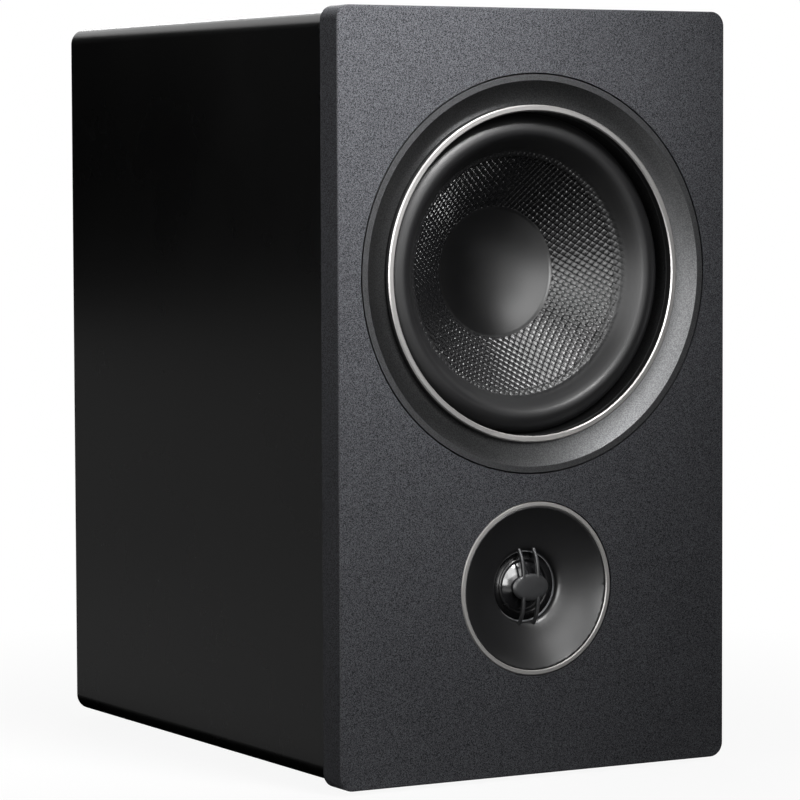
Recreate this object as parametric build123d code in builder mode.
from build123d import *
import os
from math import asin, cos, degrees, radians, sin, sqrt

# A two-way bookshelf speaker. Millimetres, +Z up, the front faces -Y, and the origin is on the floor
# under the middle of the cabinet. Depths are measured backwards from the front plane.

# Front layout
TWEETER_RADIUS = 33.0
TOP_MARGIN = 24.65
DRIVER_GAP = 10.95
BOTTOM_MARGIN = 37.7

# Cabinet
BAFFLE_LIP = 13.0
BAFFLE_WEB = 6.5
BAFFLE_OVERHANG = 1.4
BAFFLE_CORNER = 5.5
BAFFLE_EDGE = 0.8
PANEL_THICKNESS = 12.0
REAR_PANEL_THICKNESS = 16.0
CABINET_CORNER = 6.3
CABINET_EDGE = 1.0
SPIGOT_CLEARANCE = 0.25
SPIGOT_WALL = 0.75
BRACE_THICKNESS = 12.0
BRACE_DEPTH = 90.0
BRACE_RAIL = 24.0
PAD_THICKNESS = 10.0
PAD_HEIGHT = 110.0
PAD_DEPTH = 110.0
PAD_RISE = 20.0
PAD_SETBACK = 2.0
FOOT_RADIUS = 7.0
FOOT_HEIGHT = 3.0
FOOT_INSET = 20.0
FOOT_CHAMFER = 0.6

# Woofer
SURROUND_SEAT = 13.0
BASKET_SHEET = 1.5
GASKET_THICKNESS = 1.0
TRIM_COVER = 4.55
TRIM_SEAT = 8.0
TRIM_GAP = 0.6
TRIM_LAND = 2.25
TRIM_DISH = 3.2
TRIM_DISH_BOW = 0.4
TRIM_WALL = 1.8
BEZEL_CLEARANCE = 1.1
BEZEL_WIDTH = 2.35
BEZEL_SHY = 0.5
BEZEL_HEIGHT = 3.6
BEZEL_CHAMFER = 0.45
BEZEL_LEDGE = 0.1
FIT_GAP = 0.3
ROLL_RADIUS = 6.0
ROLL_CENTRE = 54.0
SURROUND_SHEET = 0.7
SURROUND_FLANGE = 3.2
SURROUND_LIP = 3.7
CONE_DROP = 0.6
CONE_SLOPE = 0.726
CONE_SHEET = 0.9
CAP_RADIUS = 25.3
CAP_SAG = 5.0
CAP_SHEET = 0.6
COIL_RADIUS = 12.7
FORMER_WALL = 0.25
COIL_BUILD = 0.55
COIL_LENGTH = 12.0
MAGNET_GAP = 0.6
SPIDER_STEP = 7.0
SPIDER_SHEET = 0.5
SPIDER_WAVE = 1.1
SPIDER_WAVES = 5
SPIDER_LAND = 6.0
MOTOR_STEP = 10.0
TOP_PLATE_THICKNESS = 6.0
MAGNET_HEIGHT = 16.0
MAGNET_WIDTH = 24.0
BACK_PLATE_THICKNESS = 6.0
POLE_VENT_RADIUS = 5.0
PLATE_INSET = 2.5
MAGNET_CLEARANCE = 3.0
FORMER_TAIL = 1.0
BASKET_WINDOWS = 6
WINDOW_WIDTH = 32.0
WINDOW_MARGIN = 6.0
WINDOW_CORNER = 6.0
STRIP_REACH = 12.0
STRIP_WIDTH = 25.2

# Tweeter
RING_WIDTH = 1.95
RING_HEIGHT = 1.5
RING_SHY = 0.2
RING_CHAMFER = 0.4
HORN_LIP = 0.5
HORN_THROAT_RADIUS = 13.6
HORN_DEPTH = 7.5
HORN_BOW = 0.9
FACEPLATE_BACK = 4.2
TWEETER_GASKET = 0.8
TWEETER_SEAT = 10.2
TWEETER_FLANGE = 6.0
SKIRT_WALL = 4.5
LOCK_RING_HEIGHT = 5.0
LOCK_RING_WIDTH = 5.8
LOCK_NOTCHES = 6
LOCK_NOTCH_RADIUS = 1.9
DOME_RADIUS = 9.5
DOME_HEIGHT = 3.2
DOME_SHEET = 0.25
DOME_ROLL = 0.8
DOME_FLANGE = 2.0
DIAPHRAGM_SHEET = 0.2
TWEETER_FORMER_WALL = 0.15
TWEETER_COIL_BUILD = 0.35
TWEETER_COIL_LENGTH = 2.5
TWEETER_MAGNET_GAP = 0.45
TWEETER_POLE_HEIGHT = 2.6
TWEETER_MAGNET_HEIGHT = 4.0
YOKE_WALL = 5.2
YOKE_FLOOR = 3.0
REAR_CAP_THICKNESS = 2.5
REAR_CHAMBER = 5.8
PLATE_WIDTH = 15.6
PLATE_HEIGHT = 10.4
PLATE_THICKNESS = 1.2
PLATE_SHY = 3.9
RIB_WIDTH = 1.2
RIB_SPACING = 6.4
RIB_RISE = 2.6

# Port and connections
PORT_RADIUS = 19.0
PORT_WALL = 2.2
PORT_FLARE = 10.0
PORT_RIM = 3.0
PORT_HUB_STEP = 7.0
PORT_LENGTH = 112.0
PORT_BREATHING_GAP = 37.95
PORT_DROP = 72.0
FLANGE_THICKNESS = 2.5
FLANGE_SHY = 2.0
REAR_GASKET = 1.0
POCKET_WIDTH = 80.0
POCKET_HEIGHT = 42.0
POCKET_DEPTH = 24.0
POCKET_CORNER = 7.0
POCKET_WALL = 2.5
POCKET_FLOOR = 3.0
CUP_RIM = 12.0
TERMINAL_RISE = 74.0
POST_SPACING = 19.05
POST_SHANK = 2.5
STUD_RADIUS = 3.0
STUD_LENGTH = 18.0
COLLAR_RADIUS = 5.5
COLLAR_HEIGHT = 2.0
PLUG_BORE_RADIUS = 2.0
PLUG_BORE_DEPTH = 14.0
WIRE_HOLE_RADIUS = 1.3
WASHER_RADIUS = 6.4
WASHER_THICKNESS = 1.2
THREAD_CLEARANCE = 0.08
POST_FACE_GAP = 0.2
KNOB_RADIUS = 7.0
KNOB_END = 1.5
KNOB_MOUTH = 2.5
KNOB_FLUTES = 12
FLUTE_RADIUS = 1.1
NUT_RADIUS = 4.6
NUT_HEIGHT = 3.0
LUG_THICKNESS = 0.8
LUG_LENGTH = 11.0

# Crossover and wiring
BOARD_WIDTH = 84.0
BOARD_DEPTH = 96.0
BOARD_THICKNESS = 1.6
BOARD_INSET = 5.0
BOARD_CORNER = 2.5
BOARD_SETBACK = 70.0
STANDOFF_RADIUS = 3.5
STANDOFF_HEIGHT = 6.0
CHOKE_WALL = 1.5
# Chokes: place on the board, spool radius, core radius and height
CHOKES = ((18.0, -20.0, 17.0, 7.0, 22.0), (-22.0, -26.0, 13.0, 6.0, 14.0))
# Capacitors: place on the board, radius and length
CAPACITORS = ((-26.0, 16.0, 8.0, 34.0), (-7.0, 16.0, 8.0, 34.0), (11.0, 18.0, 6.5, 28.0))
RESISTOR_INSET = 14.0
RESISTOR_Y = 18.0
RESISTOR_WIDTH = 9.0
RESISTOR_LENGTH = 25.0
TWEETER_TAB_X = (-24.0, -12.0)
WOOFER_TAB_X = (4.0, 28.0)
TAB_WIDTH = 6.3
TAB_THICKNESS = 0.8
TAB_HEIGHT = 7.0
LEAD_RADIUS = 1.2
LEAD_STRAIGHT = 28.0
LEAD_RISE = 14.0
LEAD_BEND = 12.0
TINSEL_RADIUS = 0.5
TINSEL_BEND = 3.5
TINSEL_INSET = 18.0
TINSEL_STEP = 10.0

# Fasteners
WOOFER_SCREWS = 4
TWEETER_SCREWS = 3
SCREW_SHANK = 1.9
SCREW_HEAD = 3.4
SCREW_HEAD_HEIGHT = 2.3
SCREW_PILOT_DEPTH = 5.0
TERMINAL_PILOT_DEPTH = 10.0
TERMINAL_HEAD_HEIGHT = 1.8
SMALL_SHANK = 1.1
SMALL_HEAD = 2.1
SMALL_HEAD_HEIGHT = 1.5
CROSS_WIDTH = 0.8
CROSS_DEPTH = 0.8
CROSS_RIM = 1.1

# Sizes that follow from the ones above
roll_outer = ROLL_CENTRE + ROLL_RADIUS
cone_radius = ROLL_CENTRE - ROLL_RADIUS
flange_outer = roll_outer + SURROUND_FLANGE
woofer_screw_radius = flange_outer + FIT_GAP + SCREW_HEAD
flange_radius = woofer_screw_radius + SCREW_HEAD
flange_rebate_radius = flange_radius + FIT_GAP
trim_radius = flange_radius + TRIM_COVER
bezel_inner = roll_outer + BEZEL_CLEARANCE
bezel_outer = bezel_inner + BEZEL_WIDTH
inner_width = 2 * (flange_rebate_radius + SPIGOT_WALL + SPIGOT_CLEARANCE)
cabinet_width = inner_width + 2 * PANEL_THICKNESS
baffle_width = cabinet_width + 2 * BAFFLE_OVERHANG
baffle_height = TOP_MARGIN + 2 * trim_radius + DRIVER_GAP + 2 * TWEETER_RADIUS + BOTTOM_MARGIN
cabinet_height = baffle_height - 2 * BAFFLE_OVERHANG
inner_height = cabinet_height - 2 * PANEL_THICKNESS
cabinet_middle_z = FOOT_HEIGHT + cabinet_height / 2
floor_z = FOOT_HEIGHT + PANEL_THICKNESS
skirt_radius = TWEETER_RADIUS - TWEETER_FLANGE
tweeter_z = FOOT_HEIGHT - BAFFLE_OVERHANG + BOTTOM_MARGIN + TWEETER_RADIUS
woofer_z = tweeter_z + TWEETER_RADIUS + DRIVER_GAP + trim_radius

rebate_depth = SURROUND_SEAT + BASKET_SHEET + GASKET_THICKNESS
baffle_thickness = rebate_depth + BAFFLE_WEB
former_radius = COIL_RADIUS + FORMER_WALL
coil_outer = former_radius + COIL_BUILD


def cone_depth(radius):
    """Depth of the cone's front face at a radius."""
    return SURROUND_SEAT + CONE_DROP + (cone_radius - radius) * CONE_SLOPE


neck_depth = cone_depth(former_radius)
spider_seat = neck_depth + SPIDER_STEP
top_plate_front = spider_seat + MOTOR_STEP
magnet_front = top_plate_front + TOP_PLATE_THICKNESS
back_plate_front = magnet_front + MAGNET_HEIGHT
woofer_depth = back_plate_front + BACK_PLATE_THICKNESS
magnet_radius = coil_outer + MAGNET_WIDTH
plate_radius = magnet_radius - PLATE_INSET

overall_depth = woofer_depth + PORT_BREATHING_GAP + PORT_LENGTH + FLANGE_SHY
front_y = -overall_depth / 2
back_y = overall_depth / 2
shell_front_y = front_y + BAFFLE_LIP
flange_face_y = back_y - FLANGE_SHY
rear_face_y = flange_face_y - FLANGE_THICKNESS - REAR_GASKET
rear_inner_y = rear_face_y - REAR_PANEL_THICKNESS
port_z = FOOT_HEIGHT + cabinet_height - PORT_DROP
terminal_z = FOOT_HEIGHT + TERMINAL_RISE
pocket_floor_y = flange_face_y - POCKET_DEPTH


def facing(z, depth):
    """Plane across a driver's axis at a depth; its normal points backwards and its x is +X."""
    return Plane(origin=(0, front_y + depth, z), x_dir=(1, 0, 0), z_dir=(0, 1, 0))


def rear_facing(z, y):
    """Plane across the back at a height; its normal points backwards and its y is +Z."""
    return Plane(origin=(0, y, z), x_dir=(-1, 0, 0), z_dir=(0, 1, 0))


def inward_facing(z, y):
    """Plane across the back at a height; its normal points forwards and its y is +Z."""
    return Plane(origin=(0, y, z), x_dir=(1, 0, 0), z_dir=(0, -1, 0))


def turned(outline, z):
    """Solid turned about a driver's axis from an outline of (radius, depth) points."""
    with BuildPart() as solid:
        with BuildSketch(Plane(origin=(0, front_y, z))):
            with BuildLine():
                Polyline(*outline, close=True)
            make_face()
        revolve(axis=Axis((0, front_y, z), (0, 1, 0)))
    return solid


def turned_ring(inner, outer, front, back, z):
    """Plain ring or disc about a driver's axis between two depths."""
    return turned([(inner, front), (outer, front), (outer, back), (inner, back)], z)


def circle_points(radius, count, start):
    """Points on a circle, the first at a start angle in degrees."""
    angles = [radians(start + 360 * i / count) for i in range(count)]
    return [(radius * cos(a), radius * sin(a)) for a in angles]


def screws(plane, places, head, head_height, shank, length):
    """Cross-head screws seated on a plane whose normal points the way the shanks go."""
    cross_span = 2 * (head - CROSS_RIM)
    with BuildPart() as group:
        with BuildSketch(plane):
            with Locations(*places):
                Circle(shank)
        extrude(amount=length)
        with BuildSketch(plane):
            with Locations(*places):
                Circle(head)
        extrude(amount=-head_height)
        with BuildSketch(plane.offset(-head_height)):
            with Locations(*places):
                Rectangle(cross_span, CROSS_WIDTH)
                Rectangle(CROSS_WIDTH, cross_span)
        extrude(amount=CROSS_DEPTH, mode=Mode.SUBTRACT)
    return group


# Cabinet: four mitred wall panels, each cut from the same rounded block
half_width = cabinet_width / 2
half_height = cabinet_height / 2
inner_half_width = inner_width / 2
inner_half_height = inner_height / 2
shell_depth = back_y - shell_front_y
shell_plane = rear_facing(cabinet_middle_z, shell_front_y)


def wall_panel(outer_a, outer_b, inner_b, inner_a):
    """One wall between two mitred corners, given by its section's corners."""
    with BuildPart() as wall:
        with BuildSketch(shell_plane):
            RectangleRounded(cabinet_width, cabinet_height, CABINET_CORNER)
        extrude(amount=shell_depth)
        fillet(wall.faces().sort_by(Axis.Y)[-1].edges(), CABINET_EDGE)
        with BuildSketch(shell_plane):
            with BuildLine():
                Polyline(outer_a, outer_b, inner_b, inner_a, close=True)
            make_face()
        extrude(amount=shell_depth, mode=Mode.INTERSECT)
    return wall


outer_corners = [(half_width, half_height), (-half_width, half_height)]
outer_corners += [(-half_width, -half_height), (half_width, -half_height)]
inner_corners = [(inner_half_width, inner_half_height), (-inner_half_width, inner_half_height)]
inner_corners += [(-inner_half_width, -inner_half_height), (inner_half_width, -inner_half_height)]
walls = []
for i in range(4):
    j = (i + 1) % 4
    walls.append(wall_panel(outer_corners[i], outer_corners[j], inner_corners[j], inner_corners[i]))
top_panel, right_panel, bottom_panel, left_panel = walls

# Front baffle: a proud front plate with a spigot that fits inside the walls
trim_rebate_radius = trim_radius + TRIM_GAP
basket_wall_radius = roll_outer + BASKET_SHEET
woofer_hole_radius = basket_wall_radius + FIT_GAP
woofer_screw_points = circle_points(woofer_screw_radius, WOOFER_SCREWS, 180 / WOOFER_SCREWS)
tweeter_rebate_radius = TWEETER_RADIUS + FIT_GAP
tweeter_rebate_depth = FACEPLATE_BACK + TWEETER_GASKET
tweeter_hole_radius = skirt_radius + FIT_GAP
with BuildPart() as front_baffle:
    with BuildSketch(facing(cabinet_middle_z, 0)):
        RectangleRounded(baffle_width, baffle_height, BAFFLE_CORNER)
    extrude(amount=BAFFLE_LIP)
    fillet(front_baffle.faces().sort_by(Axis.Y)[0].edges(), BAFFLE_EDGE)
    with BuildSketch(facing(cabinet_middle_z, BAFFLE_LIP)):
        Rectangle(inner_width - 2 * SPIGOT_CLEARANCE, inner_height - 2 * SPIGOT_CLEARANCE)
    extrude(amount=baffle_thickness - BAFFLE_LIP)
    with BuildSketch(facing(woofer_z, 0)):
        Circle(trim_rebate_radius)
    extrude(amount=TRIM_SEAT, mode=Mode.SUBTRACT)
    with BuildSketch(facing(woofer_z, 0)):
        Circle(flange_rebate_radius)
    extrude(amount=rebate_depth, mode=Mode.SUBTRACT)
    with BuildSketch(facing(woofer_z, 0)):
        Circle(woofer_hole_radius)
    extrude(amount=baffle_thickness, mode=Mode.SUBTRACT)
    with BuildSketch(facing(woofer_z, rebate_depth)):
        with Locations(*woofer_screw_points):
            Circle(SCREW_SHANK)
    extrude(amount=SCREW_PILOT_DEPTH, mode=Mode.SUBTRACT)
    with BuildSketch(facing(tweeter_z, 0)):
        Circle(tweeter_rebate_radius)
    extrude(amount=tweeter_rebate_depth, mode=Mode.SUBTRACT)
    with BuildSketch(facing(tweeter_z, 0)):
        Circle(tweeter_hole_radius)
    extrude(amount=baffle_thickness, mode=Mode.SUBTRACT)

# Rear panel with its cut-outs for the port and the terminal cup
port_hub_radius = PORT_RADIUS + PORT_HUB_STEP
port_flange_radius = PORT_RADIUS + PORT_FLARE + PORT_RIM
cup_width = POCKET_WIDTH + 2 * POCKET_WALL
cup_height = POCKET_HEIGHT + 2 * POCKET_WALL
cup_corner = POCKET_CORNER + POCKET_WALL
cup_flange_width = cup_width + 2 * CUP_RIM
cup_flange_height = cup_height + 2 * CUP_RIM
cup_screw_x = cup_flange_width / 2 - CUP_RIM / 2
cup_screw_z = cup_flange_height / 2 - CUP_RIM / 2
cup_screw_points = [(x, z) for x in (-cup_screw_x, cup_screw_x) for z in (-cup_screw_z, cup_screw_z)]
with BuildPart() as rear_panel:
    with BuildSketch(rear_facing(cabinet_middle_z, rear_inner_y)):
        Rectangle(inner_width, inner_height)
    extrude(amount=REAR_PANEL_THICKNESS)
    with BuildSketch(rear_facing(port_z, rear_inner_y)):
        Circle(port_hub_radius + FIT_GAP)
    extrude(amount=REAR_PANEL_THICKNESS, mode=Mode.SUBTRACT)
    with BuildSketch(rear_facing(terminal_z, rear_inner_y)):
        RectangleRounded(cup_width + 2 * FIT_GAP, cup_height + 2 * FIT_GAP, cup_corner)
    extrude(amount=REAR_PANEL_THICKNESS, mode=Mode.SUBTRACT)
    with BuildSketch(rear_facing(terminal_z, rear_face_y)):
        with Locations(*cup_screw_points):
            Circle(SCREW_SHANK)
    extrude(amount=-TERMINAL_PILOT_DEPTH, mode=Mode.SUBTRACT)

# Horizontal window brace between the two drivers
brace_z = tweeter_z + TWEETER_RADIUS + DRIVER_GAP / 2
brace_back_y = rear_inner_y - PANEL_THICKNESS
brace_y = brace_back_y - BRACE_DEPTH / 2
with BuildPart() as cabinet_brace:
    with BuildSketch(Plane(origin=(0, brace_y, brace_z))):
        Rectangle(inner_width, BRACE_DEPTH)
        Rectangle(inner_width - 2 * BRACE_RAIL, BRACE_DEPTH - 2 * BRACE_RAIL, mode=Mode.SUBTRACT)
    extrude(amount=BRACE_THICKNESS)

# Fibre damping pads glued to the two side walls above the brace
pad_bottom_z = brace_z + BRACE_THICKNESS + PAD_RISE
pad_y = rear_inner_y - PAD_SETBACK - PAD_DEPTH / 2
with BuildPart() as damping_pads:
    for side in (-1, 1):
        wall_plane = Plane(
            origin=(side * inner_half_width, pad_y, pad_bottom_z + PAD_HEIGHT / 2),
            x_dir=(0, 1, 0),
            z_dir=(-side, 0, 0),
        )
        with BuildSketch(wall_plane):
            RectangleRounded(PAD_DEPTH, PAD_HEIGHT, PAD_THICKNESS)
        extrude(amount=PAD_THICKNESS)

# Feet: they lift the proud baffle clear of the floor
foot_x = half_width - FOOT_INSET
foot_y = back_y - FOOT_INSET
foot_points = [(x, y) for x in (-foot_x, foot_x) for y in (-foot_y, foot_y)]
with BuildPart() as rubber_feet:
    with BuildSketch(Plane.XY):
        with Locations(*foot_points):
            Circle(FOOT_RADIUS)
    extrude(amount=FOOT_HEIGHT)
    chamfer(rubber_feet.edges().group_by(Axis.Z)[0], FOOT_CHAMFER)

# Woofer trim ring: a flat land, a dished band, a groove for the bezel and a straight inner wall
land_inner = trim_radius - TRIM_LAND
groove_outer = bezel_outer + FIT_GAP
groove_floor = BEZEL_SHY + BEZEL_HEIGHT
wall_radius = bezel_inner - BEZEL_LEDGE
wall_bottom = SURROUND_SEAT - SURROUND_SHEET - FIT_GAP
cavity_inner = wall_radius + TRIM_WALL
dish_middle = ((land_inner + groove_outer) / 2, TRIM_DISH / 2 + TRIM_DISH_BOW)
with BuildPart() as woofer_trim_ring:
    with BuildSketch(Plane(origin=(0, front_y, woofer_z))):
        with BuildLine():
            ThreePointArc((land_inner, 0), dish_middle, (groove_outer, TRIM_DISH))
            Polyline(
                (groove_outer, TRIM_DISH),
                (groove_outer, groove_floor),
                (wall_radius, groove_floor),
                (wall_radius, wall_bottom),
                (cavity_inner, wall_bottom),
                (cavity_inner, groove_floor + TRIM_WALL),
                (groove_outer, groove_floor + TRIM_WALL),
                (land_inner, TRIM_WALL + TRIM_DISH / 2),
                (land_inner, TRIM_SEAT),
                (trim_radius, TRIM_SEAT),
                (trim_radius, 0),
                (land_inner, 0),
            )
        make_face()
    revolve(axis=Axis((0, front_y, woofer_z), (0, 1, 0)))

# Bright bezel with both front edges chamfered
woofer_bezel = turned(
    [
        (bezel_inner, groove_floor),
        (bezel_inner, BEZEL_SHY + BEZEL_CHAMFER),
        (bezel_inner + BEZEL_CHAMFER, BEZEL_SHY),
        (bezel_outer - BEZEL_CHAMFER, BEZEL_SHY),
        (bezel_outer, BEZEL_SHY + BEZEL_CHAMFER),
        (bezel_outer, groove_floor),
    ],
    woofer_z,
)

# Woofer basket: pressed steel with a flange, a windowed wall, a spider shelf and a motor seat
flange_back = SURROUND_SEAT + BASKET_SHEET
shelf_outer = magnet_radius + SPIDER_LAND
shelf_inner = shelf_outer - SPIDER_LAND - BASKET_SHEET
shelf_back = spider_seat + BASKET_SHEET
seat_inner = coil_outer + MAGNET_GAP + BASKET_SHEET
window_front = baffle_thickness + BASKET_SHEET
window_back = spider_seat - WINDOW_MARGIN
window_middle = (window_front + window_back) / 2
with BuildPart() as woofer_basket:
    with BuildSketch(Plane(origin=(0, front_y, woofer_z))):
        with BuildLine():
            Polyline(
                (roll_outer, SURROUND_SEAT),
                (flange_radius, SURROUND_SEAT),
                (flange_radius, flange_back),
                (basket_wall_radius, flange_back),
                (basket_wall_radius, baffle_thickness),
                (shelf_outer + BASKET_SHEET, spider_seat),
                (shelf_outer + BASKET_SHEET, shelf_back),
                (shelf_inner, shelf_back),
                (shelf_inner, top_plate_front),
                (seat_inner, top_plate_front),
                (seat_inner, top_plate_front - BASKET_SHEET),
                (shelf_inner - BASKET_SHEET, top_plate_front - BASKET_SHEET),
                (shelf_inner - BASKET_SHEET, spider_seat),
                (shelf_outer, spider_seat),
                (roll_outer, baffle_thickness),
                close=True,
            )
        make_face()
    revolve(axis=Axis((0, front_y, woofer_z), (0, 1, 0)))
    for i in range(BASKET_WINDOWS):
        turn = 90 + 360 * i / BASKET_WINDOWS
        outward = (cos(radians(turn)), 0, sin(radians(turn)))
        window_plane = Plane(
            origin=(0, front_y + window_middle, woofer_z), x_dir=(0, 1, 0), z_dir=outward
        )
        with BuildSketch(window_plane.offset(shelf_inner)):
            RectangleRounded(window_back - window_front, WINDOW_WIDTH, WINDOW_CORNER)
        extrude(amount=flange_radius - shelf_inner, mode=Mode.SUBTRACT)
    with BuildSketch(facing(woofer_z, SURROUND_SEAT)):
        with Locations(*woofer_screw_points):
            Circle(SCREW_SHANK + FIT_GAP)
    extrude(amount=BASKET_SHEET, mode=Mode.SUBTRACT)

# Foam gasket under the basket flange
with BuildPart() as woofer_gasket:
    with BuildSketch(facing(woofer_z, flange_back)):
        Circle(flange_radius)
        Circle(woofer_hole_radius, mode=Mode.SUBTRACT)
        with Locations(*woofer_screw_points):
            Circle(SCREW_SHANK + FIT_GAP, mode=Mode.SUBTRACT)
    extrude(amount=GASKET_THICKNESS)

woofer_screw_length = BASKET_SHEET + GASKET_THICKNESS + SCREW_PILOT_DEPTH
woofer_screws = screws(
    facing(woofer_z, SURROUND_SEAT),
    woofer_screw_points,
    SCREW_HEAD,
    SCREW_HEAD_HEIGHT,
    SCREW_SHANK,
    woofer_screw_length,
)

# Rubber half-roll surround: an outer flange, one roll and a lip glued on the cone
sheet_front = SURROUND_SEAT - SURROUND_SHEET
roll_front = ROLL_RADIUS + SURROUND_SHEET / 2
roll_back = ROLL_RADIUS - SURROUND_SHEET / 2
lip_inner = cone_radius - SURROUND_LIP
lip_outer = ROLL_CENTRE - roll_front
lip_rise = SURROUND_SHEET * sqrt(1 + CONE_SLOPE**2)
with BuildPart() as woofer_surround:
    with BuildSketch(Plane(origin=(0, front_y, woofer_z))):
        with BuildLine():
            ThreePointArc(
                (ROLL_CENTRE + roll_front, sheet_front),
                (ROLL_CENTRE, sheet_front - roll_front),
                (lip_outer, sheet_front),
            )
            Polyline(
                (lip_outer, sheet_front),
                (lip_outer, cone_depth(lip_outer) - lip_rise),
                (lip_inner, cone_depth(lip_inner) - lip_rise),
                (lip_inner, cone_depth(lip_inner)),
                (cone_radius, cone_depth(cone_radius)),
                (cone_radius + SURROUND_SHEET / 2, SURROUND_SEAT),
                (ROLL_CENTRE - roll_back, sheet_front),
            )
            ThreePointArc(
                (ROLL_CENTRE - roll_back, sheet_front),
                (ROLL_CENTRE, sheet_front - roll_back),
                (ROLL_CENTRE + roll_back, sheet_front),
            )
            Polyline(
                (ROLL_CENTRE + roll_back, sheet_front),
                (ROLL_CENTRE + roll_back, SURROUND_SEAT),
                (flange_outer, SURROUND_SEAT),
                (flange_outer, sheet_front),
                (ROLL_CENTRE + roll_front, sheet_front),
            )
        make_face()
    revolve(axis=Axis((0, front_y, woofer_z), (0, 1, 0)))

# Woven cone and the dished cap glued on its front
woofer_cone = turned(
    [
        (cone_radius, cone_depth(cone_radius)),
        (former_radius, neck_depth),
        (former_radius, neck_depth + CONE_SHEET),
        (cone_radius, cone_depth(cone_radius) + CONE_SHEET),
    ],
    woofer_z,
)

cap_rim = cone_depth(CAP_RADIUS)


def spherical_shell(z, rim_radius, rim_depth, rise, sheet, forward):
    """Thin part of a sphere about a driver's axis; it bulges forwards, or backwards where forward is -1."""
    sphere = (rim_radius**2 + rise**2) / (2 * rise)
    centre = (0, rim_depth - forward * (rise - sphere))
    span = degrees(asin(rim_radius / sphere))
    rim_angle = forward * (span - 90)
    inside = sphere - sheet
    with BuildPart() as shell:
        with BuildSketch(Plane(origin=(0, front_y, z))):
            with BuildLine():
                outer = CenterArc(centre, sphere, rim_angle, -forward * span)
                inner = CenterArc(centre, inside, rim_angle, -forward * span)
                Line(outer @ 0, inner @ 0)
                Line(outer @ 1, inner @ 1)
            make_face()
        revolve(axis=Axis((0, front_y, z), (0, 1, 0)))
    return shell


woofer_dust_cap = spherical_shell(woofer_z, CAP_RADIUS, cap_rim, CAP_SAG, CAP_SHEET, -1)

# Voice coil on its former, centred in the magnetic gap
coil_middle = top_plate_front + TOP_PLATE_THICKNESS / 2
coil_front = coil_middle - COIL_LENGTH / 2
coil_back = coil_middle + COIL_LENGTH / 2
woofer_coil_former = turned_ring(COIL_RADIUS, former_radius, neck_depth, coil_back + FORMER_TAIL, woofer_z)
woofer_voice_coil = turned_ring(former_radius, coil_outer, coil_front, coil_back, woofer_z)

# Corrugated spider between the former and the basket shelf
wave_inner = former_radius + SPIDER_LAND / 2
wave_outer = shelf_inner - BASKET_SHEET
wave_step = (wave_outer - wave_inner) / (2 * SPIDER_WAVES)
spider_front = [(former_radius, spider_seat - SPIDER_SHEET), (wave_inner, spider_seat - SPIDER_SHEET)]
for i in range(2 * SPIDER_WAVES):
    swing = SPIDER_WAVE if i % 2 else -SPIDER_WAVE
    spider_front.append((wave_inner + (i + 0.5) * wave_step, spider_seat - SPIDER_SHEET + swing))
spider_front += [(wave_outer, spider_seat - SPIDER_SHEET), (shelf_outer, spider_seat - SPIDER_SHEET)]
spider_back = [(r, s + SPIDER_SHEET) for r, s in reversed(spider_front)]
woofer_spider = turned(spider_front + spider_back, woofer_z)

# Motor: top plate, ferrite ring and a back plate with its vented pole
gap_outer = coil_outer + MAGNET_GAP
pole_radius = COIL_RADIUS - MAGNET_GAP
woofer_top_plate = turned_ring(gap_outer, plate_radius, top_plate_front, magnet_front, woofer_z)
magnet_inner = gap_outer + MAGNET_CLEARANCE
woofer_magnet = turned_ring(magnet_inner, magnet_radius, magnet_front, back_plate_front, woofer_z)
woofer_pole_yoke = turned(
    [
        (POLE_VENT_RADIUS, top_plate_front),
        (pole_radius, top_plate_front),
        (pole_radius, back_plate_front),
        (plate_radius, back_plate_front),
        (plate_radius, woofer_depth),
        (POLE_VENT_RADIUS, woofer_depth),
    ],
    woofer_z,
)

# Connection strip on the back of the spider shelf
strip_inner = shelf_inner + BASKET_SHEET
strip_outer = shelf_outer + STRIP_REACH
with BuildPart() as woofer_tag_strip:
    with BuildSketch(facing(woofer_z, shelf_back)):
        with Locations((0, (strip_inner + strip_outer) / 2)):
            Rectangle(STRIP_WIDTH, strip_outer - strip_inner)
    extrude(amount=BASKET_SHEET)

# Tweeter accent ring and waveguide
ring_inner = TWEETER_RADIUS - RING_WIDTH
ring_back = RING_SHY + RING_HEIGHT
tweeter_ring = turned(
    [
        (ring_inner, ring_back),
        (ring_inner, RING_SHY + RING_CHAMFER),
        (ring_inner + RING_CHAMFER, RING_SHY),
        (TWEETER_RADIUS - RING_CHAMFER, RING_SHY),
        (TWEETER_RADIUS, RING_SHY + RING_CHAMFER),
        (TWEETER_RADIUS, ring_back),
    ],
    tweeter_z,
)

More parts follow.
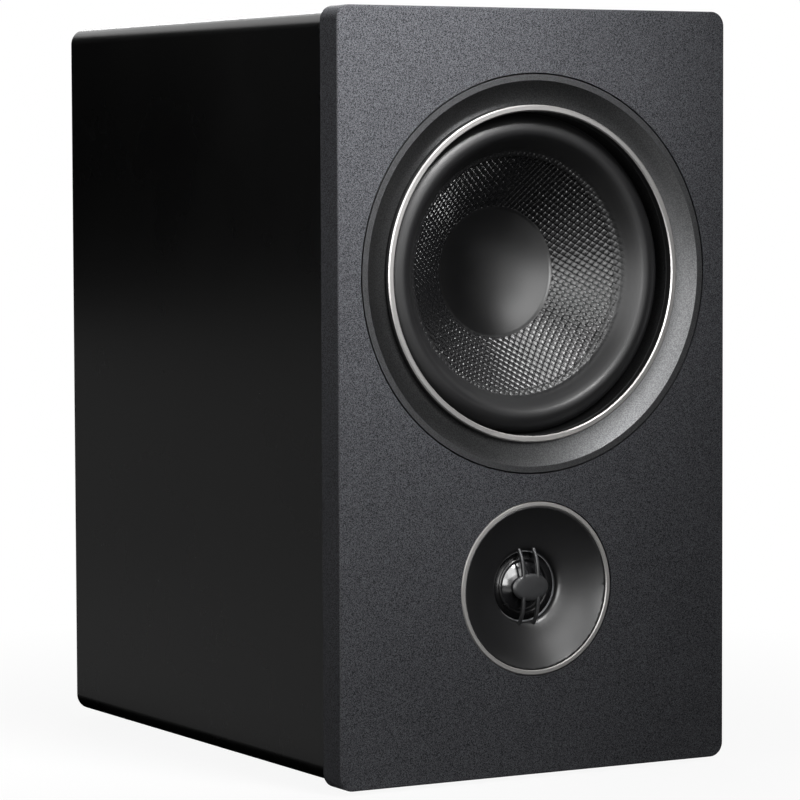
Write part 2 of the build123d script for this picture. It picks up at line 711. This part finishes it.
skirt_inner = skirt_radius - SKIRT_WALL
gap_radius = DOME_RADIUS + TWEETER_COIL_BUILD + TWEETER_MAGNET_GAP
yoke_radius = gap_radius + YOKE_WALL
yoke_back = TWEETER_SEAT + TWEETER_POLE_HEIGHT + TWEETER_MAGNET_HEIGHT + YOKE_FLOOR
skirt_back = yoke_back + REAR_CHAMBER
rear_cap_back = skirt_back + REAR_CAP_THICKNESS
skirt_screw_radius = skirt_radius - SKIRT_WALL / 2
tweeter_screw_points = circle_points(skirt_screw_radius, TWEETER_SCREWS, 90)
horn_middle = (
    (ring_inner + HORN_THROAT_RADIUS) / 2,
    (HORN_LIP + HORN_DEPTH) / 2 + HORN_BOW,
)
with BuildPart() as tweeter_waveguide:
    with BuildSketch(Plane(origin=(0, front_y, tweeter_z))):
        with BuildLine():
            ThreePointArc((ring_inner, HORN_LIP), horn_middle, (HORN_THROAT_RADIUS, HORN_DEPTH))
            Polyline(
                (HORN_THROAT_RADIUS, HORN_DEPTH),
                (HORN_THROAT_RADIUS, TWEETER_SEAT),
                (skirt_inner, TWEETER_SEAT),
                (skirt_inner, skirt_back),
                (skirt_radius, skirt_back),
                (skirt_radius, FACEPLATE_BACK),
                (TWEETER_RADIUS, FACEPLATE_BACK),
                (TWEETER_RADIUS, ring_back),
                (ring_inner, ring_back),
                (ring_inner, HORN_LIP),
            )
        make_face()
    revolve(axis=Axis((0, front_y, tweeter_z), (0, 1, 0)))
    with BuildSketch(facing(tweeter_z, skirt_back)):
        with Locations(*tweeter_screw_points):
            Circle(SMALL_SHANK)
    extrude(amount=-SCREW_PILOT_DEPTH, mode=Mode.SUBTRACT)

tweeter_gasket = turned_ring(
    tweeter_hole_radius, TWEETER_RADIUS, FACEPLATE_BACK, tweeter_rebate_depth, tweeter_z
)

# Bridge over the dome: an oval plate on two pairs of ribs from the throat wall
plate_back = PLATE_SHY + PLATE_THICKNESS
rib_far = HORN_THROAT_RADIUS + RIB_WIDTH
rib_near = PLATE_HEIGHT / 4
with BuildPart() as tweeter_bridge:
    for x in (-RIB_SPACING / 2, RIB_SPACING / 2):
        rib_plane = Plane(origin=(x, front_y, tweeter_z), x_dir=(0, 1, 0), z_dir=(1, 0, 0))
        for up in (-1, 1):
            with BuildSketch(rib_plane):
                with BuildLine():
                    Polyline(
                        (PLATE_SHY + PLATE_THICKNESS / 2, up * rib_near),
                        (plate_back, up * PLATE_HEIGHT / 2),
                        (plate_back + RIB_RISE, up * rib_far),
                        (plate_back + RIB_RISE + RIB_WIDTH, up * rib_far),
                        (plate_back + RIB_WIDTH, up * rib_near),
                        close=True,
                    )
                make_face()
            extrude(amount=RIB_WIDTH / 2, both=True)
    with BuildSketch(facing(tweeter_z, 0)):
        Circle(HORN_THROAT_RADIUS)
    extrude(amount=TWEETER_SEAT, mode=Mode.INTERSECT)
    with BuildSketch(facing(tweeter_z, PLATE_SHY)):
        Ellipse(PLATE_WIDTH / 2, PLATE_HEIGHT / 2)
    extrude(amount=PLATE_THICKNESS)

# Dome, its small roll surround, former and coil
diaphragm_front = TWEETER_SEAT - DIAPHRAGM_SHEET
tweeter_dome = spherical_shell(tweeter_z, DOME_RADIUS, diaphragm_front, DOME_HEIGHT, DOME_SHEET, 1)

dome_roll_centre = DOME_RADIUS + DOME_ROLL
dome_flange_inner = dome_roll_centre + DOME_ROLL
dome_roll_inside = DOME_ROLL - DIAPHRAGM_SHEET
with BuildPart() as tweeter_surround:
    with BuildSketch(Plane(origin=(0, front_y, tweeter_z))):
        with BuildLine():
            ThreePointArc(
                (DOME_RADIUS, diaphragm_front),
                (dome_roll_centre, diaphragm_front - DOME_ROLL),
                (dome_flange_inner, diaphragm_front),
            )
            Polyline(
                (dome_flange_inner, diaphragm_front),
                (dome_flange_inner + DOME_FLANGE, diaphragm_front),
                (dome_flange_inner + DOME_FLANGE, TWEETER_SEAT),
                (dome_roll_centre + dome_roll_inside, TWEETER_SEAT),
                (dome_roll_centre + dome_roll_inside, diaphragm_front),
            )
            ThreePointArc(
                (dome_roll_centre + dome_roll_inside, diaphragm_front),
                (dome_roll_centre, diaphragm_front - dome_roll_inside),
                (dome_roll_centre - dome_roll_inside, diaphragm_front),
            )
            Line((dome_roll_centre - dome_roll_inside, diaphragm_front), (DOME_RADIUS, diaphragm_front))
        make_face()
    revolve(axis=Axis((0, front_y, tweeter_z), (0, 1, 0)))

tweeter_coil_back = TWEETER_SEAT + TWEETER_POLE_HEIGHT
tweeter_coil_front = tweeter_coil_back - TWEETER_COIL_LENGTH
tweeter_former_inner = DOME_RADIUS - TWEETER_FORMER_WALL
tweeter_coil_former = turned_ring(
    tweeter_former_inner, DOME_RADIUS, diaphragm_front + DOME_SHEET, tweeter_coil_back, tweeter_z
)
tweeter_voice_coil = turned_ring(
    DOME_RADIUS, DOME_RADIUS + TWEETER_COIL_BUILD, tweeter_coil_front, tweeter_coil_back, tweeter_z
)

# Tweeter motor, its rear cap and the ring that locks the skirt behind the baffle
tweeter_pole_radius = tweeter_former_inner - TWEETER_MAGNET_GAP
tweeter_magnet_back = tweeter_coil_back + TWEETER_MAGNET_HEIGHT
tweeter_pole = turned_ring(
    0, tweeter_pole_radius, TWEETER_SEAT + TWEETER_MAGNET_GAP, tweeter_coil_back, tweeter_z
)
tweeter_magnet = turned_ring(
    0, tweeter_pole_radius - TWEETER_MAGNET_GAP, tweeter_coil_back, tweeter_magnet_back, tweeter_z
)
tweeter_yoke = turned(
    [
        (gap_radius, TWEETER_SEAT),
        (yoke_radius, TWEETER_SEAT),
        (yoke_radius, yoke_back),
        (0, yoke_back),
        (0, tweeter_magnet_back),
        (gap_radius, tweeter_magnet_back),
    ],
    tweeter_z,
)
with BuildPart() as tweeter_rear_cap:
    with BuildSketch(facing(tweeter_z, skirt_back)):
        Circle(skirt_radius)
        with Locations(*tweeter_screw_points):
            Circle(SMALL_SHANK, mode=Mode.SUBTRACT)
    extrude(amount=REAR_CAP_THICKNESS)
    with BuildSketch(facing(tweeter_z, yoke_back)):
        Circle(yoke_radius)
        Circle(gap_radius, mode=Mode.SUBTRACT)
    extrude(amount=REAR_CHAMBER)
tweeter_screws = screws(
    inward_facing(tweeter_z, front_y + rear_cap_back),
    [(x, -z) for x, z in tweeter_screw_points],
    SMALL_HEAD,
    SMALL_HEAD_HEIGHT,
    SMALL_SHANK,
    REAR_CAP_THICKNESS + SCREW_PILOT_DEPTH,
)
lock_ring_inner = skirt_radius + THREAD_CLEARANCE
lock_ring_outer = lock_ring_inner + LOCK_RING_WIDTH
with BuildPart() as tweeter_lock_ring:
    with BuildSketch(facing(tweeter_z, baffle_thickness)):
        Circle(lock_ring_outer)
        Circle(lock_ring_inner, mode=Mode.SUBTRACT)
        with Locations(*circle_points(lock_ring_outer, LOCK_NOTCHES, 0)):
            Circle(LOCK_NOTCH_RADIUS, mode=Mode.SUBTRACT)
    extrude(amount=LOCK_RING_HEIGHT)

# Reflex port: a flared mouth, a hub through the rear panel and a straight tube
port_tube_radius = PORT_RADIUS + PORT_WALL
flare_edge = PORT_RADIUS + PORT_FLARE
flare_middle = flare_edge - PORT_FLARE * cos(radians(45))
hub_back = -FLANGE_THICKNESS - REAR_GASKET - REAR_PANEL_THICKNESS
with BuildPart() as port_tube:
    with BuildSketch(Plane(origin=(0, flange_face_y, port_z))):
        with BuildLine():
            ThreePointArc(
                (PORT_RADIUS, -PORT_FLARE),
                (flare_middle, -PORT_FLARE + PORT_FLARE * sin(radians(45))),
                (flare_edge, 0),
            )
            Polyline(
                (flare_edge, 0),
                (port_flange_radius, 0),
                (port_flange_radius, -FLANGE_THICKNESS - REAR_GASKET),
                (port_hub_radius, -FLANGE_THICKNESS - REAR_GASKET),
                (port_hub_radius, hub_back),
                (port_tube_radius, hub_back),
                (port_tube_radius, -PORT_LENGTH),
                (PORT_RADIUS, -PORT_LENGTH),
                (PORT_RADIUS, -PORT_FLARE),
            )
        make_face()
    revolve(axis=Axis((0, flange_face_y, port_z), (0, 1, 0)))

# Terminal cup with its gasket and corner screws
post_points = [(-POST_SPACING / 2, 0), (POST_SPACING / 2, 0)]
with BuildPart() as terminal_cup:
    with BuildSketch(rear_facing(terminal_z, flange_face_y)):
        RectangleRounded(cup_flange_width, cup_flange_height, cup_corner)
    extrude(amount=-FLANGE_THICKNESS)
    with BuildSketch(rear_facing(terminal_z, flange_face_y - FLANGE_THICKNESS)):
        RectangleRounded(cup_width, cup_height, cup_corner)
    extrude(amount=-(POCKET_DEPTH + POCKET_FLOOR - FLANGE_THICKNESS))
    with BuildSketch(rear_facing(terminal_z, flange_face_y)):
        RectangleRounded(POCKET_WIDTH, POCKET_HEIGHT, POCKET_CORNER)
    extrude(amount=-POCKET_DEPTH, mode=Mode.SUBTRACT)
    with BuildSketch(rear_facing(terminal_z, pocket_floor_y)):
        with Locations(*post_points):
            Circle(POST_SHANK + THREAD_CLEARANCE)
    extrude(amount=-POCKET_FLOOR, mode=Mode.SUBTRACT)
    with BuildSketch(rear_facing(terminal_z, flange_face_y)):
        with Locations(*cup_screw_points):
            Circle(SCREW_SHANK + FIT_GAP)
    extrude(amount=-FLANGE_THICKNESS, mode=Mode.SUBTRACT)
with BuildPart() as terminal_gasket:
    with BuildSketch(rear_facing(terminal_z, rear_face_y)):
        RectangleRounded(cup_flange_width, cup_flange_height, cup_corner)
        RectangleRounded(cup_width, cup_height, cup_corner, mode=Mode.SUBTRACT)
        with Locations(*cup_screw_points):
            Circle(SCREW_SHANK + FIT_GAP, mode=Mode.SUBTRACT)
    extrude(amount=REAR_GASKET)
terminal_screws = screws(
    inward_facing(terminal_z, flange_face_y),
    cup_screw_points,
    SCREW_HEAD,
    TERMINAL_HEAD_HEIGHT,
    SCREW_SHANK,
    FLANGE_THICKNESS + REAR_GASKET + TERMINAL_PILOT_DEPTH,
)

# Binding posts: bored studs with collars, clamp washers and fluted knobs
collar_face_y = pocket_floor_y + COLLAR_HEIGHT
stud_end_y = collar_face_y + STUD_LENGTH
lug_front_y = pocket_floor_y - POCKET_FLOOR - LUG_THICKNESS
nut_front_y = lug_front_y - NUT_HEIGHT
washer_y = collar_face_y + POST_FACE_GAP
washer_end_y = washer_y + WASHER_THICKNESS
knob_y = washer_end_y + POST_FACE_GAP
knob_end_y = stud_end_y + POST_FACE_GAP + KNOB_END
wire_hole_y = collar_face_y + WIRE_HOLE_RADIUS + POST_FACE_GAP
thread_radius = STUD_RADIUS + THREAD_CLEARANCE
with BuildPart() as post_studs:
    for radius, start_y, end_y in (
        (POST_SHANK, nut_front_y - LUG_THICKNESS, pocket_floor_y),
        (COLLAR_RADIUS, pocket_floor_y, collar_face_y),
        (STUD_RADIUS, collar_face_y, stud_end_y),
    ):
        with BuildSketch(rear_facing(terminal_z, start_y)):
            with Locations(*post_points):
                Circle(radius)
        extrude(amount=end_y - start_y)
    with BuildSketch(rear_facing(terminal_z, stud_end_y)):
        with Locations(*post_points):
            Circle(PLUG_BORE_RADIUS)
    extrude(amount=-PLUG_BORE_DEPTH, mode=Mode.SUBTRACT)
    with BuildSketch(Plane(origin=(0, wire_hole_y, terminal_z))):
        with Locations(*post_points):
            Circle(WIRE_HOLE_RADIUS)
    extrude(amount=COLLAR_RADIUS, both=True, mode=Mode.SUBTRACT)


def clamp_washer(x):
    """Captive washer under one knob."""
    with BuildPart() as washer:
        with BuildSketch(rear_facing(terminal_z, washer_y)):
            with Locations((-x, 0)):
                Circle(WASHER_RADIUS)
                Circle(thread_radius, mode=Mode.SUBTRACT)
        extrude(amount=WASHER_THICKNESS)
    return washer


def fluted_knob(x):
    """Knob with grip flutes, a threaded bore and a plug mouth in its end."""
    flutes = [(-x + a, b) for a, b in circle_points(KNOB_RADIUS + FLUTE_RADIUS / 2, KNOB_FLUTES, 0)]
    with BuildPart() as knob:
        with BuildSketch(rear_facing(terminal_z, knob_y)):
            with Locations((-x, 0)):
                Circle(KNOB_RADIUS)
        extrude(amount=knob_end_y - knob_y)
        chamfer(knob.faces().sort_by(Axis.Y)[-1].edges(), KNOB_END / 2)
        with BuildSketch(rear_facing(terminal_z, knob_y + KNOB_END)):
            with Locations(*flutes):
                Circle(FLUTE_RADIUS)
        extrude(amount=knob_end_y - knob_y, mode=Mode.SUBTRACT)
        with BuildSketch(rear_facing(terminal_z, knob_y)):
            with Locations((-x, 0)):
                Circle(thread_radius)
        extrude(amount=stud_end_y + POST_FACE_GAP - knob_y, mode=Mode.SUBTRACT)
        with BuildSketch(rear_facing(terminal_z, knob_y)):
            with Locations((-x, 0)):
                Circle(KNOB_MOUTH)
        extrude(amount=knob_end_y - knob_y, mode=Mode.SUBTRACT)
    return knob


red_washer = clamp_washer(POST_SPACING / 2)
black_washer = clamp_washer(-POST_SPACING / 2)
red_knob = fluted_knob(POST_SPACING / 2)
black_knob = fluted_knob(-POST_SPACING / 2)

with BuildPart() as post_nuts:
    with BuildSketch(rear_facing(terminal_z, nut_front_y)):
        with Locations(*post_points):
            RegularPolygon(NUT_RADIUS, 6)
            Circle(POST_SHANK + THREAD_CLEARANCE, mode=Mode.SUBTRACT)
    extrude(amount=NUT_HEIGHT)
with BuildPart() as post_lugs:
    with BuildSketch(rear_facing(terminal_z, lug_front_y)):
        with Locations(*[(x, -LUG_LENGTH / 2) for x, z in post_points]):
            Rectangle(TAB_WIDTH, LUG_LENGTH)
        with Locations(*post_points):
            Circle(NUT_RADIUS)
            Circle(POST_SHANK + THREAD_CLEARANCE, mode=Mode.SUBTRACT)
    extrude(amount=LUG_THICKNESS)

# Crossover board on standoffs above the cabinet floor
board_y = shell_front_y + BOARD_SETBACK + BOARD_DEPTH / 2
board_bottom_z = floor_z + STANDOFF_HEIGHT
board_top_z = board_bottom_z + BOARD_THICKNESS
board_hole_x = BOARD_WIDTH / 2 - BOARD_INSET
board_hole_y = BOARD_DEPTH / 2 - BOARD_INSET
board_holes = [(x, y) for x in (-board_hole_x, board_hole_x) for y in (-board_hole_y, board_hole_y)]
board_plane = Plane(origin=(0, board_y, board_bottom_z))
with BuildPart() as crossover_board:
    with BuildSketch(board_plane):
        RectangleRounded(BOARD_WIDTH, BOARD_DEPTH, BOARD_CORNER)
        with Locations(*board_holes):
            Circle(SCREW_SHANK, mode=Mode.SUBTRACT)
    extrude(amount=BOARD_THICKNESS)
with BuildPart() as board_standoffs:
    with BuildSketch(Plane(origin=(0, board_y, floor_z))):
        with Locations(*board_holes):
            Circle(STANDOFF_RADIUS)
            Circle(SCREW_SHANK, mode=Mode.SUBTRACT)
    extrude(amount=STANDOFF_HEIGHT)
board_screws = screws(
    Plane(origin=(0, board_y, board_top_z), x_dir=(1, 0, 0), z_dir=(0, 0, -1)),
    board_holes,
    SCREW_HEAD,
    SCREW_HEAD_HEIGHT,
    SCREW_SHANK,
    BOARD_THICKNESS + STANDOFF_HEIGHT,
)

# Chokes, one for each driver
with BuildPart() as choke_bobbins:
    for x, y, radius, core, height in CHOKES:
        with BuildSketch(Plane(origin=(x, board_y + y, board_top_z))):
            Circle(radius)
            Circle(core - CHOKE_WALL, mode=Mode.SUBTRACT)
        extrude(amount=height)
        with BuildSketch(Plane(origin=(x, board_y + y, board_top_z + CHOKE_WALL))):
            Circle(radius)
            Circle(core, mode=Mode.SUBTRACT)
        extrude(amount=height - 2 * CHOKE_WALL, mode=Mode.SUBTRACT)
with BuildPart() as choke_windings:
    for x, y, radius, core, height in CHOKES:
        with BuildSketch(Plane(origin=(x, board_y + y, board_top_z + CHOKE_WALL))):
            Circle(radius - CHOKE_WALL)
            Circle(core, mode=Mode.SUBTRACT)
        extrude(amount=height - 2 * CHOKE_WALL)

# Capacitors lie along the board
with BuildPart() as crossover_capacitors:
    for x, y, radius, length in CAPACITORS:
        end_plane = Plane(
            origin=(x, board_y + y - length / 2, board_top_z + radius + FIT_GAP),
            x_dir=(1, 0, 0),
            z_dir=(0, 1, 0),
        )
        with BuildSketch(end_plane):
            Circle(radius)
        extrude(amount=length)

# Cement resistor
resistor_x = BOARD_WIDTH / 2 - RESISTOR_INSET
with BuildPart() as crossover_resistor:
    with BuildSketch(Plane(origin=(resistor_x, board_y + RESISTOR_Y, board_top_z))):
        Rectangle(RESISTOR_WIDTH, RESISTOR_LENGTH)
    extrude(amount=RESISTOR_WIDTH)

# Push-on tabs: two on each driver and three pairs on the board
tag_spread = TAB_WIDTH
tag_outer = strip_outer + TAB_HEIGHT
tag_middle = (strip_inner + tag_outer) / 2
tag_back = shelf_back + BASKET_SHEET
tab_front_y = board_y - BOARD_DEPTH / 2 + TAB_WIDTH / 2
tab_back_y = board_y + BOARD_DEPTH / 2 - TAB_WIDTH / 2
tab_top_z = board_top_z + TAB_HEIGHT
with BuildPart() as push_on_tabs:
    with BuildSketch(facing(woofer_z, tag_back)):
        with Locations((-tag_spread, tag_middle), (tag_spread, tag_middle)):
            Rectangle(TAB_WIDTH, tag_outer - strip_inner)
    extrude(amount=TAB_THICKNESS)
    with BuildSketch(facing(tweeter_z, rear_cap_back)):
        with Locations((-tag_spread, 0), (tag_spread, 0)):
            Rectangle(TAB_THICKNESS, TAB_WIDTH)
    extrude(amount=TAB_HEIGHT)
    with BuildSketch(Plane.XY.offset(board_top_z)):
        with Locations(*[(x, tab_front_y) for x in TWEETER_TAB_X + WOOFER_TAB_X]):
            Rectangle(TAB_WIDTH, TAB_THICKNESS)
        with Locations(*[(x, tab_back_y) for x, z in post_points]):
            Rectangle(TAB_WIDTH, TAB_THICKNESS)
    extrude(amount=TAB_HEIGHT)

# Leads: from each driver's tabs and each post's lug to the tops of the board's tabs
woofer_tag_y = front_y + tag_back + TAB_THICKNESS / 2
woofer_tag_z = woofer_z - tag_outer
tweeter_tag_y = front_y + rear_cap_back + TAB_HEIGHT
lug_z = terminal_z - LUG_LENGTH + TAB_WIDTH / 2
lead_routes = []
for side, tab_x in zip((-1, 1), WOOFER_TAB_X):
    tag_x = side * tag_spread
    lead_routes.append(
        [
            (tag_x, woofer_tag_y, woofer_tag_z),
            (tag_x, woofer_tag_y, woofer_tag_z - LEAD_STRAIGHT),
            (tab_x, tab_front_y, tab_top_z + LEAD_RISE),
            (tab_x, tab_front_y, tab_top_z),
        ]
    )
for side, tab_x in zip((-1, 1), TWEETER_TAB_X):
    tag_x = side * tag_spread
    lead_routes.append(
        [
            (tag_x, tweeter_tag_y, tweeter_z),
            (tag_x, tweeter_tag_y + LEAD_RISE, tweeter_z),
            (tab_x, tab_front_y, tab_top_z + LEAD_RISE),
            (tab_x, tab_front_y, tab_top_z),
        ]
    )
for x, z in post_points:
    lead_routes.append(
        [
            (x, lug_front_y, lug_z),
            (x, lug_front_y - LEAD_RISE, lug_z),
            (x, tab_back_y, tab_top_z + LEAD_RISE),
            (x, tab_back_y, tab_top_z),
        ]
    )
with BuildPart() as wiring_leads:
    for points in lead_routes:
        with BuildLine() as route:
            FilletPolyline(*points, radius=LEAD_BEND)
        with BuildSketch(Plane(origin=route.line @ 0, z_dir=route.line % 0)):
            Circle(LEAD_RADIUS)
        sweep()

# Flexible leads from the back of the cone, out through a basket window, to the connection strip
tinsel_rise = 1 / sqrt(1 + CONE_SLOPE**2)
tinsel_run = CONE_SLOPE * tinsel_rise
tinsel_start = cone_radius - TINSEL_INSET
tinsel_start_depth = cone_depth(tinsel_start) + CONE_SHEET + FIT_GAP
tinsel_end = shelf_outer + BASKET_SHEET + STRIP_REACH / 2
tinsel_profile = [
    (tinsel_start, tinsel_start_depth),
    (tinsel_start + TINSEL_STEP * tinsel_run, tinsel_start_depth + TINSEL_STEP * tinsel_rise),
    (tinsel_end, tinsel_start_depth + TINSEL_STEP),
    (tinsel_end, shelf_back),
]
with BuildPart() as woofer_tinsel_leads:
    for x in (-tag_spread, tag_spread):
        with BuildLine() as route:
            FilletPolyline(*[(x, front_y + s, woofer_z - r) for r, s in tinsel_profile], radius=TINSEL_BEND)
        with BuildSketch(Plane(origin=route.line @ 0, z_dir=route.line % 0)):
            Circle(TINSEL_RADIUS)
        sweep()

pieces = {
    "front_baffle": front_baffle,
    "top_panel": top_panel,
    "right_panel": right_panel,
    "bottom_panel": bottom_panel,
    "left_panel": left_panel,
    "rear_panel": rear_panel,
    "cabinet_brace": cabinet_brace,
    "damping_pads": damping_pads,
    "rubber_feet": rubber_feet,
    "woofer_trim_ring": woofer_trim_ring,
    "woofer_bezel": woofer_bezel,
    "woofer_basket": woofer_basket,
    "woofer_gasket": woofer_gasket,
    "woofer_screws": woofer_screws,
    "woofer_surround": woofer_surround,
    "woofer_cone": woofer_cone,
    "woofer_dust_cap": woofer_dust_cap,
    "woofer_coil_former": woofer_coil_former,
    "woofer_voice_coil": woofer_voice_coil,
    "woofer_spider": woofer_spider,
    "woofer_top_plate": woofer_top_plate,
    "woofer_magnet": woofer_magnet,
    "woofer_pole_yoke": woofer_pole_yoke,
    "woofer_tag_strip": woofer_tag_strip,
    "tweeter_ring": tweeter_ring,
    "tweeter_waveguide": tweeter_waveguide,
    "tweeter_gasket": tweeter_gasket,
    "tweeter_bridge": tweeter_bridge,
    "tweeter_dome": tweeter_dome,
    "tweeter_surround": tweeter_surround,
    "tweeter_coil_former": tweeter_coil_former,
    "tweeter_voice_coil": tweeter_voice_coil,
    "tweeter_pole": tweeter_pole,
    "tweeter_magnet": tweeter_magnet,
    "tweeter_yoke": tweeter_yoke,
    "tweeter_rear_cap": tweeter_rear_cap,
    "tweeter_screws": tweeter_screws,
    "tweeter_lock_ring": tweeter_lock_ring,
    "port_tube": port_tube,
    "terminal_cup": terminal_cup,
    "terminal_gasket": terminal_gasket,
    "terminal_screws": terminal_screws,
    "post_studs": post_studs,
    "red_washer": red_washer,
    "black_washer": black_washer,
    "red_knob": red_knob,
    "black_knob": black_knob,
    "post_nuts": post_nuts,
    "post_lugs": post_lugs,
    "crossover_board": crossover_board,
    "board_standoffs": board_standoffs,
    "board_screws": board_screws,
    "choke_bobbins": choke_bobbins,
    "choke_windings": choke_windings,
    "crossover_capacitors": crossover_capacitors,
    "crossover_resistor": crossover_resistor,
    "push_on_tabs": push_on_tabs,
    "wiring_leads": wiring_leads,
    "woofer_tinsel_leads": woofer_tinsel_leads,
}
os.makedirs("parts", exist_ok=True)
for name, piece in pieces.items():
    piece.part.label = name
    export_step(piece.part, f"parts/{name}.step")
print(f"{len(pieces)} pieces, {baffle_width:.2f} x {overall_depth:.2f} x {baffle_height:.2f} mm")
